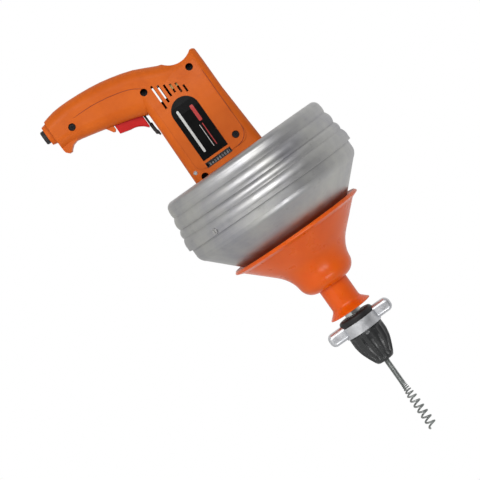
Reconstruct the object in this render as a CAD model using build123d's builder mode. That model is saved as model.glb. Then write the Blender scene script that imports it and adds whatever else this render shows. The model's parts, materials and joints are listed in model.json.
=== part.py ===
from build123d import *
import os
from math import acos, atan2, cos, degrees, pi, radians, sin, sqrt, tan

os.makedirs("parts", exist_ok=True)

# Drain snake machine: a pistol-grip geared motor that turns a drum of coiled drain cable.
# +X runs along the spindle towards the cable's tip, +Z is up and the grip hangs down -Z.
# The origin is the middle of the chuck's mouth. The operator's right side is -Y.

# ---------------------------------------------------------------- driving dimensions
CABLE_R = 3.175
AUGER_START = 32.0
AUGER_END = 92.0
AUGER_R = 5.2
AUGER_PITCH = 6.6
AUGER_WIRE_R = 0.85

HOUSING_REAR = -402.5
HOUSING_FRONT = -271.0
WALL = 3.0
PAD_SWELL = 0.8
LABEL_THICK = 0.45
GRIP_END = -156.2

MOTOR_Z = -17.0
STAGE_1_CENTRES = 14.0
STAGE_2_CENTRES = 28.0
# The countershaft sits where both centre distances are met.
COUNTER_Z = (STAGE_1_CENTRES**2 - STAGE_2_CENTRES**2 - MOTOR_Z**2) / (-2 * MOTOR_Z)
COUNTER_Y = sqrt(STAGE_2_CENTRES**2 - COUNTER_Z**2)

PINION_TEETH = 9
GEAR_1_TEETH = 47
MODULE_1 = 2 * STAGE_1_CENTRES / (PINION_TEETH + GEAR_1_TEETH)
COUNTER_TEETH = 11
OUTPUT_TEETH = 45
MODULE_2 = 2 * STAGE_2_CENTRES / (COUNTER_TEETH + OUTPUT_TEETH)

SHEET = 1.2
DRUM_R = 107.9
DRUM_REAR = -279.4
DISH_FLOOR = -268.5
SEAM_X = -222.8
CONE_NOSE_X = -128.6
CONE_NOSE_R = 24.0

TUBE_R = 9.7
TUBE_BORE = 6.2
RUNNING = 0.06
APART = 0.3

SCREW_RECESS_R = 4.2
# x and z of the housing screws that pass through both shells, and how far out each boss reaches
SCREWS = (
    (-387.3, 7.9, 28.0),
    (-392.9, -48.3, 22.5),
    (-407.7, -133.8, 17.0),
    (-280.2, -46.4, 32.0),
)
# x and z of the screw on each side that holds the gear case
CASE_SCREW = (-298.5, 6.8)

# ---------------------------------------------------------------- shared helpers


def face_of(points, plane=Plane.XZ):
    """A closed straight-sided outline as a sketch on a plane."""
    with BuildSketch(plane) as drawn:
        with BuildLine():
            Polyline(*points, close=True)
        make_face()
    return drawn.sketch


def ring_of(outer, inner=0.0, at=(0.0, 0.0), x=0.0):
    """A disc or ring about an axis parallel to the spindle, as a sketch at x."""
    with BuildSketch(Plane.YZ.offset(x)) as drawn:
        with Locations(at):
            Circle(outer)
            if inner:
                Circle(inner, mode=Mode.SUBTRACT)
    return drawn.sketch


def tube(outer, inner, x0, x1, at=(0.0, 0.0), mode=Mode.ADD):
    """Extrude a ring from x0 to x1 into the part being built."""
    extrude(ring_of(outer, inner, at, x0), amount=x1 - x0, mode=mode)


def block(x0, x1, y0, y1, z0, z1, mode=Mode.ADD):
    """A box given by its six limits."""
    with Locations(((x0 + x1) / 2, (y0 + y1) / 2, (z0 + z1) / 2)):
        Box(x1 - x0, y1 - y0, z1 - z0, mode=mode)


def cross_pin(radius, x, z, y0, y1, mode=Mode.ADD):
    """A cylinder across the machine, from y0 to y1."""
    with BuildSketch(Plane.XZ.offset(-y0)) as drawn:
        with Locations((x, z)):
            Circle(radius)
    extrude(drawn.sketch, amount=-(y1 - y0), mode=mode)


def hexagon(across_flats, x):
    """A hexagonal outline about the spindle axis at x."""
    with BuildSketch(Plane.YZ.offset(x)) as drawn:
        RegularPolygon(across_flats / 2, 6, major_radius=False)
    return drawn.sketch


# ---------------------------------------------------------------- gears


def gear_outline(teeth, module, shift, addendum, backlash, aim):
    """Involute outline as (y, z) points, with one tooth centred on the direction aim (degrees)."""
    pitch_r = teeth * module / 2
    base_r = pitch_r * cos(radians(20))
    tip_r = pitch_r + module * (addendum + shift)
    root_r = pitch_r - module * (1.2 - shift)
    start_r = max(base_r, root_r)
    half = pi / 2 / teeth + 2 * shift * tan(radians(20)) / teeth - backlash / 2 / pitch_r
    involute_20 = tan(radians(20)) - radians(20)

    def half_angle(r):
        a = acos(min(1.0, base_r / r))
        return half + involute_20 - (tan(a) - a)

    radii = [start_r + (tip_r - start_r) * k / 3 for k in range(4)]
    points = []
    for tooth in range(teeth):
        middle = radians(aim) + 2 * pi * tooth / teeth
        left = [(root_r, -half_angle(start_r))] + [(r, -half_angle(r)) for r in radii]
        right = [(r, -a) for r, a in reversed(left)]
        flank = left + right
        if root_r >= start_r - 1e-6:
            flank = flank[1:-1]
        for r, a in flank:
            points.append((r * cos(middle + a), r * sin(middle + a)))
    return points


def gear_at(teeth, module, shift, addendum, backlash, aim, centre, x):
    """A gear's face as a sketch at x, about an axis parallel to the spindle."""
    outline = gear_outline(teeth, module, shift, addendum, backlash, aim)
    placed = [(centre[0] + y, centre[1] + z) for y, z in outline]
    return face_of(placed, Plane.YZ.offset(x))


def aim_of(start, end):
    """Direction from one axis to another, in degrees."""
    return degrees(atan2(end[1] - start[1], end[0] - start[0]))


SPINDLE_AT = (0.0, 0.0)
MOTOR_AT = (0.0, MOTOR_Z)
COUNTER_AT = (COUNTER_Y, COUNTER_Z)

# ---------------------------------------------------------------- housing masses

# x, lowest z, highest z, half width, corner radius, share of the side pad's swell
BODY_SECTIONS = (
    (HOUSING_REAR, -50.0, 24.6, 24.5, 8.0, 0.0),
    (-397.5, -53.9, 24.7, 27.4, 8.5, 0.0),
    (-392.0, -56.3, 24.8, 29.4, 9.0, 0.0),
    (-384.0, -57.6, 24.9, 31.1, 9.5, 0.05),
    (-372.0, -57.7, 24.9, 32.7, 10.0, 0.35),
    (-359.0, -57.8, 24.9, 33.7, 10.0, 0.8),
    (-349.0, -57.8, 24.9, 34.0, 10.0, 1.0),
    (HOUSING_FRONT, -59.2, 28.9, 34.0, 10.0, 1.0),
)
GRIP_TOP = -4.0
# z, rear x, front x, half width, corner radius
GRIP_SECTIONS = (
    (GRIP_TOP, -404.0, -366.0, 28.5, 13.0),
    (-20.0, -408.9, -366.0, 30.0, 14.0),
    (-44.0, -420.4, -366.0, 30.0, 15.0),
    (-69.0, -427.9, -375.6, 25.5, 15.0),
    (-93.0, -432.3, -382.3, 21.5, 14.0),
    (-121.0, -434.4, -389.3, 19.2, 13.0),
    (-142.0, -433.7, -393.5, 18.6, 13.0),
    (GRIP_END, -430.2, -393.5, 19.0, 12.0),
)


def smoothed(rows):
    """The rows of a table with one more, on a smooth curve, between each pair."""
    ends = [rows[0], *rows, rows[-1]]
    smooth = [rows[0]]
    for before, start, end, after in zip(ends, ends[1:], ends[2:], ends[3:]):
        middle = zip(before, start, end, after)
        smooth.append(tuple((9 * (b + c) - a - d) / 16 for a, b, c, d in middle))
        smooth.append(end)
    return smooth


def body_mass(inset=0.0, swell=0.0):
    """The motor housing as a lofted solid, drawn in by inset, its sides bulged by swell."""
    with BuildPart(mode=Mode.PRIVATE) as mass:
        for x, low, high, half, corner, share in BODY_SECTIONS:
            plane_x = x + inset if x == HOUSING_REAR else x
            with BuildSketch(Plane.YZ.offset(plane_x)):
                with Locations((0, (low + high) / 2)):
                    width = 2 * (half - inset + swell * share)
                    RectangleRounded(width, high - low - 2 * inset, max(corner - inset, 1.0))
        loft(ruled=True)
    return mass.part


def grip_mass(inset=0.0):
    """The pistol grip as a lofted solid, drawn in by inset."""
    with BuildPart(mode=Mode.PRIVATE) as mass:
        for z, rear, front, half, corner in smoothed(GRIP_SECTIONS):
            plane_z = min(max(z, GRIP_END + inset), GRIP_TOP - inset)
            with BuildSketch(Plane.XY.offset(plane_z)):
                with Locations(((rear + front) / 2, 0)):
                    length = front - rear - 2 * inset
                    RectangleRounded(length, 2 * (half - inset), max(corner - inset, 1.0))
        loft(ruled=True)
    return mass.part


BODY_OUTER = body_mass()
BODY_INNER = body_mass(WALL)
BODY_CLEAR = body_mass(WALL + 0.1)
BODY_PADDED = body_mass(0.0, PAD_SWELL)
BODY_LABELLED = body_mass(0.0, PAD_SWELL + LABEL_THICK)
GRIP_OUTER = grip_mass()
GRIP_INNER = grip_mass(WALL)

# The side pad, the nameplate and the vents, in side view
PAD_TOP = 17.2
PAD_BOTTOM = -49.0
PAD_FRONT = -287.3
LABEL_TOP = -6.2
LABEL_BOTTOM = -38.4
LABEL_REAR = -366.4
LABEL_FRONT = -294.7
# z, rear x and front x of each slot
VENTS = (
    (-8.6, -375.1, -366.3),
    (-14.3, -381.7, -369.6),
    (-20.2, -384.3, -373.3),
    (-26.1, -387.2, -372.2),
    (-32.1, -390.5, -368.5),
    (-38.2, -393.8, -364.1),
)
VENT_HEIGHT = 2.4
GRILLE_X = (-291.7, -285.7)
GRILLE_Z = (-38.7, -6.2)
PIN_X = -289.3
PIN_Z = -53.0
PIN_R = 2.2

# Trigger and reversing lever
TRIGGER_HALF = 8.0
TRIGGER_TOP = -63.9
TRIGGER_FOOT = -95.2
LEVER_PIVOT_X = -384.0
LEVER_TOP = -61.0
LEVER_THICK = 2.5
WINDOW_HALF = TRIGGER_HALF + 0.4

# Small features of the shells, in side view
HORN = (
    (-398.0, -133.0),
    (-393.6, -137.0),
    (-391.6, -144.0),
    (-388.6, -147.6),
    (-386.3, -149.6),
    (-386.4, -152.8),
    (-389.2, -155.6),
    (-393.0, -156.2),
    (-400.0, -156.2),
)
LIP = ((-386.0, -96.4), (-379.0, -96.4), (-376.9, -98.2), (-377.6, -100.4), (-386.0, -105.5))
THUMB_NOTCH = (-420.8, 4.0)
THUMB_R = 23.5
CORD_X = -415.8
CORD_BORE_R = 7.0
NOSE_END = -162.2
# rear face, bore radius and lowest z of each web
RIBS = ((-362.0, 28.6, -60.0), (-336.0, 28.6, -60.0), (-396.5, 9.55, -33.0))

# Gear case and bearings along x
CASE_REAR = -301.0
CASE_FRONT = -271.6
PLATE_REAR = -312.5
CASE_R = 25.4
# y and z of the screws that hold the gear plate to the case
CASE_LUGS = ((-16.5, -24.0), (24.0, -13.0), (8.0, -43.0))
NOTCH_X = -287.0
NOTCH_Z = 23.8
NOTCH_HALF = 24.0


def case_outline(grow, x, lugs=True):
    """The gear case's outline: circles about the three axes, with lugs for its screws."""
    with BuildSketch(Plane.YZ.offset(x)) as drawn:
        Circle(CASE_R + grow)
        with Locations(COUNTER_AT):
            Circle(14.6 + grow)
        with Locations(MOTOR_AT):
            Circle(13.0 + grow)
        if lugs:
            with Locations(CASE_LUGS):
                Circle(4.0 + grow)
    return drawn.sketch


def pad_outline():
    """Side view of the raised pad, rounded at its front corners."""
    with BuildSketch(Plane.XZ) as drawn:
        with Locations(((PAD_FRONT - 395.0) / 2, (PAD_TOP + PAD_BOTTOM) / 2)):
            RectangleRounded(PAD_FRONT + 395.0, PAD_TOP - PAD_BOTTOM, 9.6)
    return drawn.sketch


def label_outline():
    """Side view of the nameplate: square at the front, half round at the rear."""
    height = LABEL_TOP - LABEL_BOTTOM
    middle = (LABEL_TOP + LABEL_BOTTOM) / 2
    round_x = LABEL_REAR + height / 2
    with BuildSketch(Plane.XZ) as drawn:
        with Locations(((round_x + LABEL_FRONT) / 2, middle)):
            Rectangle(LABEL_FRONT - round_x, height)
        with Locations((round_x, middle)):
            Circle(height / 2)
    return drawn.sketch


# ---------------------------------------------------------------- housing shells


def housing_common():
    """Both halves of the clamshell in one, hollow, before its bosses and openings."""
    with BuildPart(mode=Mode.PRIVATE) as cavity:
        add(BODY_INNER)
        add(GRIP_INNER)
        block(-405, -371, -20, 20, -58, -20)
    with BuildPart(mode=Mode.PRIVATE) as extras:
        # horn, cord nose and the lip under the trigger
        extrude(face_of(HORN), amount=13, both=True)
        with BuildSketch(Plane.XY.offset(-154.0)) as nose_top:
            with Locations((CORD_X, 0)):
                RectangleRounded(26.0, 26.0, 9.0)
        with BuildSketch(Plane.XY.offset(NOSE_END)) as nose_end:
            with Locations((CORD_X, 0)):
                RectangleRounded(22.5, 22.5, 9.0)
        loft(sections=[nose_top.sketch, nose_end.sketch])
        extrude(face_of(LIP), amount=9, both=True)
    with BuildPart(mode=Mode.PRIVATE) as pad:
        add(BODY_PADDED)
        extrude(pad_outline(), amount=45, both=True, mode=Mode.INTERSECT)
    with BuildPart(mode=Mode.PRIVATE) as whole:
        add(BODY_OUTER)
        add(GRIP_OUTER)
        add(pad.part)
        add(cavity.part, mode=Mode.SUBTRACT)
        add(extras.part)
    return whole.part


def housing_ribs():
    """Webs inside the body that hold the stator and the armature's rear bearing."""
    with BuildPart(mode=Mode.PRIVATE) as ribs:
        for rib_x, bore, low in RIBS:
            block(rib_x, rib_x + 5.5, -40, 40, low, 30)
            tube(bore, 0, rib_x - 1, rib_x + 7, MOTOR_AT, mode=Mode.SUBTRACT)
        # backs up the wall where the thumb notch cuts into it
        block(-400.0, -396.0, -40, 40, -6.5, 15.0)
        add(body_mass(WALL - 0.2), mode=Mode.INTERSECT)
    return ribs.part


def housing_openings():
    """Everything that is cut out of both halves."""
    with BuildPart(mode=Mode.PRIVATE) as cuts:
        with BuildSketch(Plane.XZ) as notch:
            with Locations(THUMB_NOTCH):
                Circle(THUMB_R)
        extrude(notch.sketch, amount=45, both=True)
        with BuildSketch(Plane.XZ) as rear_corner:
            with BuildLine():
                Polyline((-398.3, 25.2), (-404.0, 25.2), (-404.0, 19.5), (HOUSING_REAR, 19.5))
                ThreePointArc((HOUSING_REAR, 19.5), (-401.5, 23.3), (-398.3, 25.2))
            make_face()
        extrude(rear_corner.sketch, amount=45, both=True)
        extrude(case_outline(0.1, PLATE_REAR - 0.2), amount=50)
        block(NOTCH_X, -260, -NOTCH_HALF, NOTCH_HALF, NOTCH_Z, 40)
        for z, rear, front in VENTS:
            block(rear, front, -50, 50, z - VENT_HEIGHT / 2, z + VENT_HEIGHT / 2)
        block(*GRILLE_X, -50, 50, *GRILLE_Z)
        block(-394, -355, -WINDOW_HALF, WINDOW_HALF, TRIGGER_FOOT - 0.9, LEVER_TOP + 0.5)
        with Locations((CORD_X, 0, -158)):
            Cylinder(CORD_BORE_R, 24)
    return cuts.part


HOUSING_COMMON = housing_common()
HOUSING_RIBS = housing_ribs()
HOUSING_OPENINGS = housing_openings()


def housing_shell(side):
    """One half of the clamshell; side is -1 for the right half and +1 for the left."""
    with BuildPart(mode=Mode.PRIVATE) as bosses:
        add(HOUSING_RIBS)
        for x, z, reach in SCREWS:
            cross_pin(5.4, x, z, 0.0, side * reach)
        cross_pin(6.0, *CASE_SCREW, side * 29.6, side * 32.0)
    with BuildPart(mode=Mode.PRIVATE) as holes:
        add(HOUSING_OPENINGS)
        for x, z, _ in SCREWS:
            cross_pin(1.8, x, z, side * -1.0, side * (40.0 if side < 0 else 12.0))
            if side < 0:
                cross_pin(SCREW_RECESS_R, x, z, -13.0, -40.0)
        cross_pin(SCREW_RECESS_R, *CASE_SCREW, side * 31.0, side * 40.0)
        cross_pin(1.8, *CASE_SCREW, side * 20.0, side * 40.0)
        if side < 0:
            cross_pin(PIN_R, PIN_X, PIN_Z, -45.0, -24.0)
    with BuildPart(mode=Mode.PRIVATE) as shell:
        add(HOUSING_COMMON)
        split(bisect_by=Plane.XZ, keep=Keep.TOP if side < 0 else Keep.BOTTOM)
        add(bosses.part)
        add(holes.part, mode=Mode.SUBTRACT)
        split(bisect_by=Plane.XZ, keep=Keep.TOP if side < 0 else Keep.BOTTOM)
    return shell.part


with BuildPart() as right_housing:
    add(housing_shell(-1))
right_housing.part.label = "right_housing"
export_step(right_housing.part, "parts/right_housing.step")

with BuildPart() as left_housing:
    add(housing_shell(1))
left_housing.part.label = "left_housing"
export_step(left_housing.part, "parts/left_housing.step")

# ---------------------------------------------------------------- fixed pieces outside

with BuildPart() as housing_screws:
    for x, z, _ in SCREWS:
        cross_pin(1.7, x, z, 11.5, -13.0)
        cross_pin(3.6, x, z, -13.0, -15.6)
    for side in (-1, 1):
        cross_pin(1.7, *CASE_SCREW, side * 22.0, side * 31.0)
        cross_pin(3.6, *CASE_SCREW, side * 31.0, side * 32.6)
    for x, z, y in [(x, z, -15.6) for x, z, _ in SCREWS] + [(*CASE_SCREW, -32.6), (*CASE_SCREW, 32.6)]:
        out = 1 if y > 0 else -1
        for long_x, long_z in ((3.8, 0.8), (0.8, 3.8)):
            inner, outer = y - out * 1.0, y + out * 0.5
            low, high = min(inner, outer), max(inner, outer)
            block(
                x - long_x / 2,
                x + long_x / 2,
                low,
                high,
                z - long_z / 2,
                z + long_z / 2,
                mode=Mode.SUBTRACT,
            )
housing_screws.part.label = "housing_screws"
export_step(housing_screws.part, "parts/housing_screws.step")

with BuildPart() as nameplates:
    add(BODY_LABELLED)
    extrude(label_outline(), amount=45, both=True, mode=Mode.INTERSECT)
    add(BODY_PADDED, mode=Mode.SUBTRACT)
nameplates.part.label = "nameplates"
export_step(nameplates.part, "parts/nameplates.step")

GRILLE_BARS = 10
GRILLE_FRAME = 0.9
GRILLE_GAP = 1.9
GRILLE_Y = (31.2, 34.4)
with BuildPart() as vent_grilles:
    rear, front = GRILLE_X
    bar_pitch = (GRILLE_Z[1] - GRILLE_Z[0]) / GRILLE_BARS
    for side in (-1, 1):
        low, high = sorted((side * GRILLE_Y[0], side * GRILLE_Y[1]))
        block(rear, front, low, high, *GRILLE_Z)
        for bar in range(GRILLE_BARS):
            z = GRILLE_Z[0] + bar_pitch * (bar + 0.5)
            gap = (z - GRILLE_GAP / 2, z + GRILLE_GAP / 2)
            block(rear + GRILLE_FRAME, front - GRILLE_FRAME, low - 1, high + 1, *gap, Mode.SUBTRACT)
vent_grilles.part.label = "vent_grilles"
export_step(vent_grilles.part, "parts/vent_grilles.step")

with BuildPart() as case_pin:
    cross_pin(PIN_R, PIN_X, PIN_Z, -33.2, -26.0)
case_pin.part.label = "case_pin"
export_step(case_pin.part, "parts/case_pin.step")

CORD_R = 4.0
CORD_DEPTH = 12.0
GLAND_END = -167.1
with BuildPart() as cord_gland:
    with Locations((CORD_X, 0, (NOSE_END + GLAND_END) / 2)):
        Cylinder(8.0, NOSE_END - GLAND_END)
    chamfer(cord_gland.edges().group_by(Axis.Z)[0], 1.0)
    with Locations((CORD_X, 0, NOSE_END + 5.5)):
        Cylinder(CORD_BORE_R, 11.0)
    with Locations((CORD_X, 0, GLAND_END + CORD_DEPTH / 2)):
        Cylinder(CORD_R, CORD_DEPTH, mode=Mode.SUBTRACT)
cord_gland.part.label = "cord_gland"
export_step(cord_gland.part, "parts/cord_gland.step")

# ---------------------------------------------------------------- gear case and bearings

SPINDLE_BEARING = (-280.0, -272.2, 14.0, 6.0)
FRONT_BEARING = (-312.0, -306.0, 9.5, 3.0)
REAR_BEARING = (-396.3, -390.3, 9.5, 3.5)
BUSH_FRONT = (-281.5, -277.0)
BUSH_REAR = (-306.0, -301.2)
BUSH_R = 4.6
COUNTER_R = 3.0
SPINDLE_TAIL_R = 3.4

with BuildPart() as gear_case:
    add(BODY_INNER)
    block(-280.5, CASE_FRONT, -40, 40, -70, 40, mode=Mode.INTERSECT)
    extrude(case_outline(0.0, CASE_REAR), amount=CASE_FRONT - CASE_REAR - 1)
    with BuildPart(mode=Mode.PRIVATE) as top_pad:
        add(BODY_OUTER)
        block(NOTCH_X + 0.1, CASE_FRONT, -NOTCH_HALF + 0.1, NOTCH_HALF - 0.1, 18, 40, mode=Mode.INTERSECT)
    add(top_pad.part)
    with BuildPart(mode=Mode.PRIVATE) as ears:
        for side in (-1, 1):
            low, high = sorted((side * 20.0, side * 30.4))
            block(-293.0, -279.0, low, high, -36.0, -8.0)
            cross_pin(5.6, *CASE_SCREW, side * 20.0, side * 29.5)
        add(BODY_CLEAR, mode=Mode.INTERSECT)
    add(ears.part)
    extrude(case_outline(-1.6, CASE_REAR, lugs=False), amount=-281.5 - CASE_REAR, mode=Mode.SUBTRACT)
    tube(SPINDLE_BEARING[2], 0, SPINDLE_BEARING[0], -260, mode=Mode.SUBTRACT)
    tube(10.5, 0, -283, -260, mode=Mode.SUBTRACT)
    tube(BUSH_R, 0, BUSH_FRONT[0], BUSH_FRONT[1], COUNTER_AT, Mode.SUBTRACT)
    for side in (-1, 1):
        cross_pin(1.7, *CASE_SCREW, side * 18.0, side * 31.0, Mode.SUBTRACT)
    block(-310, CASE_REAR, -40, 40, -50, 40, mode=Mode.SUBTRACT)
    for lug in CASE_LUGS:
        tube(1.75, 0, CASE_REAR, CASE_REAR + 8.0, lug, Mode.SUBTRACT)
    # clear of the lower front screw boss
    cross_pin(5.5, SCREWS[3][0], SCREWS[3][1], -40.0, 40.0, Mode.SUBTRACT)
gear_case.part.label = "gear_case"
export_step(gear_case.part, "parts/gear_case.step")

with BuildPart() as gear_plate:
    extrude(case_outline(0.0, PLATE_REAR), amount=CASE_REAR - PLATE_REAR)
    tube(FRONT_BEARING[2], 0, PLATE_REAR, FRONT_BEARING[1], MOTOR_AT, Mode.SUBTRACT)
    tube(4.0, 0, PLATE_REAR, CASE_REAR, MOTOR_AT, Mode.SUBTRACT)
    tube(BUSH_R, 0, BUSH_REAR[0], CASE_REAR, COUNTER_AT, Mode.SUBTRACT)
    tube(BUSH_R, 0, BUSH_REAR[0], CASE_REAR, SPINDLE_AT, Mode.SUBTRACT)
    for lug in CASE_LUGS:
        tube(1.75, 0, PLATE_REAR, CASE_REAR, lug, Mode.SUBTRACT)
gear_plate.part.label = "gear_plate"
export_step(gear_plate.part, "parts/gear_plate.step")

with BuildPart() as spindle_bearing:
    tube(SPINDLE_BEARING[2], SPINDLE_BEARING[3] + 0.04, SPINDLE_BEARING[0], SPINDLE_BEARING[1])
    for x in (SPINDLE_BEARING[0], SPINDLE_BEARING[1] - 0.8):
        tube(12.0, 8.6, x, x + 0.8, mode=Mode.SUBTRACT)
spindle_bearing.part.label = "spindle_bearing"
export_step(spindle_bearing.part, "parts/spindle_bearing.step")

with BuildPart() as armature_bearings:
    for rear, front, outer, inner in (FRONT_BEARING, REAR_BEARING):
        tube(outer, inner + 0.04, rear, front, MOTOR_AT)
armature_bearings.part.label = "armature_bearings"
export_step(armature_bearings.part, "parts/armature_bearings.step")

with BuildPart() as gear_bushes:
    tube(BUSH_R, COUNTER_R + 0.04, BUSH_FRONT[0], BUSH_FRONT[1], COUNTER_AT)
    tube(BUSH_R, COUNTER_R + 0.04, BUSH_REAR[0], BUSH_REAR[1], COUNTER_AT)
    tube(BUSH_R, SPINDLE_TAIL_R + 0.04, BUSH_REAR[0], BUSH_REAR[1])
gear_bushes.part.label = "gear_bushes"
export_step(gear_bushes.part, "parts/gear_bushes.step")

# ---------------------------------------------------------------- motor

STATOR_BORE = 17.6
CORE_R = 17.0
with BuildPart() as stator_core:
    tube(28.5, STATOR_BORE, -366.0, -328.0, MOTOR_AT)
    for side in (-1, 1):
        for y in (20.0, -20.0):
            low, high = sorted((MOTOR_Z + side * 6.0, MOTOR_Z + side * 13.0))
            block(-367, -327, y - 3.2, y + 3.2, low, high, mode=Mode.SUBTRACT)
stator_core.part.label = "stator_core"
export_step(stator_core.part, "parts/stator_core.step")

with BuildPart() as field_coils:
    for rear, front in ((-374.0, -366.0), (-328.0, -325.0)):
        tube(25.5, 18.5, rear, front, MOTOR_AT)
        block(rear - 1, front + 1, -30, 30, MOTOR_Z - 3.0, MOTOR_Z + 3.0, mode=Mode.SUBTRACT)
    for side in (-1, 1):
        for y in (20.0, -20.0):
            low, high = sorted((MOTOR_Z + side * 6.2, MOTOR_Z + side * 12.8))
            block(-366.5, -327.5, y - 3.0, y + 3.0, low, high)
    tube(STATOR_BORE + 0.1, 0, -380, -320, MOTOR_AT, Mode.SUBTRACT)
field_coils.part.label = "field_coils"
export_step(field_coils.part, "parts/field_coils.step")

BRUSH_X = -382.0
COMMUTATOR_R = 11.0
with BuildPart() as carbon_brushes:
    for side in (-1, 1):
        low, high = sorted((side * (COMMUTATOR_R + APART), side * 19.0))
        block(BRUSH_X - 3.0, BRUSH_X + 3.0, low, high, MOTOR_Z - 4.0, MOTOR_Z + 4.0)
carbon_brushes.part.label = "carbon_brushes"
export_step(carbon_brushes.part, "parts/carbon_brushes.step")

with BuildPart() as brush_holders:
    for side in (-1, 1):
        low, high = sorted((side * 13.0, side * 26.0))
        block(BRUSH_X - 4.2, BRUSH_X + 4.2, low, high, MOTOR_Z - 5.2, MOTOR_Z + 5.2)
        block(BRUSH_X - 3.0, BRUSH_X + 3.0, low - 1, high + 1, MOTOR_Z - 4.0, MOTOR_Z + 4.0, Mode.SUBTRACT)
        low, high = sorted((side * 25.0, side * 26.0))
        block(BRUSH_X - 4.2, BRUSH_X + 4.2, low, high, MOTOR_Z - 5.2, MOTOR_Z + 5.2)
brush_holders.part.label = "brush_holders"
export_step(brush_holders.part, "parts/brush_holders.step")

with BuildPart() as brush_springs:
    for side in (-1, 1):
        low, high = sorted((side * 19.0, side * 25.0))
        cross_pin(2.6, BRUSH_X, MOTOR_Z, low, high)
        cross_pin(1.8, BRUSH_X, MOTOR_Z, low, high, Mode.SUBTRACT)
brush_springs.part.label = "brush_springs"
export_step(brush_springs.part, "parts/brush_springs.step")

PINION_AIM = aim_of(MOTOR_AT, COUNTER_AT)
GEAR_1_AIM = aim_of(COUNTER_AT, MOTOR_AT) + 180 / GEAR_1_TEETH
COUNTER_AIM = aim_of(COUNTER_AT, SPINDLE_AT)
OUTPUT_AIM = aim_of(SPINDLE_AT, COUNTER_AT) + 180 / OUTPUT_TEETH
SHIFT_1 = 0.42
SHIFT_2 = 0.36
BACKLASH_1 = 0.09
BACKLASH_2 = 0.14

with BuildPart() as armature_shaft:
    tube(3.5, 0, -397.0, -388.0, MOTOR_AT)
    tube(5.0, 0, -388.0, -312.6, MOTOR_AT)
    tube(3.0, 0, -312.6, -301.0, MOTOR_AT)
    tube(2.0, 0, -301.0, -300.5, MOTOR_AT)
    pinion = gear_at(PINION_TEETH, MODULE_1, SHIFT_1, 0.75, BACKLASH_1, PINION_AIM, MOTOR_AT, -300.5)
    extrude(pinion, amount=6.0)
armature_shaft.part.label = "armature_shaft"
export_step(armature_shaft.part, "parts/armature_shaft.step")

SLOTS = 12
with BuildPart() as armature_core:
    tube(CORE_R, 5.0, -365.0, -329.0, MOTOR_AT)
    with BuildSketch(Plane.YZ.offset(-366.0)) as slot:
        with Locations(MOTOR_AT):
            with PolarLocations(13.8, SLOTS):
                Rectangle(7.0, 3.2)
    extrude(slot.sketch, amount=38, mode=Mode.SUBTRACT)
armature_core.part.label = "armature_core"
export_step(armature_core.part, "parts/armature_core.step")

with BuildPart() as armature_windings:
    for rear, front in ((-372.5, -365.0), (-329.0, -325.0)):
        tube(15.4, 5.0, rear, front, MOTOR_AT)
    with BuildSketch(Plane.YZ.offset(-365.5)) as slot:
        with Locations(MOTOR_AT):
            with PolarLocations(13.2, SLOTS):
                Rectangle(5.4, 2.6)
    extrude(slot.sketch, amount=37)
armature_windings.part.label = "armature_windings"
export_step(armature_windings.part, "parts/armature_windings.step")

with BuildPart() as commutator:
    tube(COMMUTATOR_R, 5.0, -387.5, -375.0, MOTOR_AT)
    with BuildSketch(Plane.YZ.offset(-387.6)) as slot:
        with Locations(MOTOR_AT):
            with PolarLocations(COMMUTATOR_R, 2 * SLOTS):
                Rectangle(2.0, 0.5)
    extrude(slot.sketch, amount=10.5, mode=Mode.SUBTRACT)
commutator.part.label = "commutator"
export_step(commutator.part, "parts/commutator.step")

BLADES = 11
with BuildPart() as cooling_fan:
    tube(9.0, 5.0, -323.5, -314.5, MOTOR_AT)
    tube(24.0, 5.0, -323.5, -322.0, MOTOR_AT)
    with BuildSketch(Plane.YZ.offset(-322.5)) as blade:
        with Locations(MOTOR_AT):
            with PolarLocations(16.0, BLADES):
                Rectangle(15.5, 1.6, rotation=24)
    extrude(blade.sketch, amount=7.5)
cooling_fan.part.label = "cooling_fan"
export_step(cooling_fan.part, "parts/cooling_fan.step")

# ---------------------------------------------------------------- countershaft

with BuildPart() as countershaft:
    tube(COUNTER_R, 0, BUSH_REAR[0] + 0.3, BUSH_FRONT[1] - 0.3, COUNTER_AT)
    tube(4.2, 0, -300.4, -294.4, COUNTER_AT)
    teeth = gear_at(COUNTER_TEETH, MODULE_2, SHIFT_2, 0.8, BACKLASH_2, COUNTER_AIM, COUNTER_AT, -294.4)
    extrude(teeth, amount=12.4)
countershaft.part.label = "countershaft"
export_step(countershaft.part, "parts/countershaft.step")

with BuildPart() as countershaft_gear:
    wheel = gear_at(GEAR_1_TEETH, MODULE_1, -SHIFT_1, 0.9, BACKLASH_1, GEAR_1_AIM, COUNTER_AT, -300.0)
    extrude(wheel, amount=5.0)
    tube(4.2, 0, -301, -290, COUNTER_AT, Mode.SUBTRACT)
countershaft_gear.part.label = "countershaft_gear"
export_step(countershaft_gear.part, "parts/countershaft_gear.step")

# ---------------------------------------------------------------- spindle and drum

with BuildPart() as spindle:
    tube(SPINDLE_TAIL_R, 0, -305.7, -298.5)
    tube(5.5, 0, -298.5, -292.3)
    tube(7.5, 0, -292.3, -280.6)
    tube(SPINDLE_BEARING[3], 0, -280.6, -244.0)
    chamfer(spindle.edges().filter_by(GeomType.CIRCLE).sort_by(Axis.X)[-1], 1.0)
spindle.part.label = "spindle"
export_step(spindle.part, "parts/spindle.step")

with BuildPart() as output_gear:
    wheel = gear_at(OUTPUT_TEETH, MODULE_2, -SHIFT_2, 0.9, BACKLASH_2, OUTPUT_AIM, SPINDLE_AT, -292.0)
    extrude(wheel, amount=9.0)
    tube(7.5, 0, -293, -282, mode=Mode.SUBTRACT)
    for x in (-292.0, -285.0):
        tube(18.5, 11.0, x, x + 2.0, mode=Mode.SUBTRACT)
output_gear.part.label = "output_gear"
export_step(output_gear.part, "parts/output_gear.step")

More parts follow.
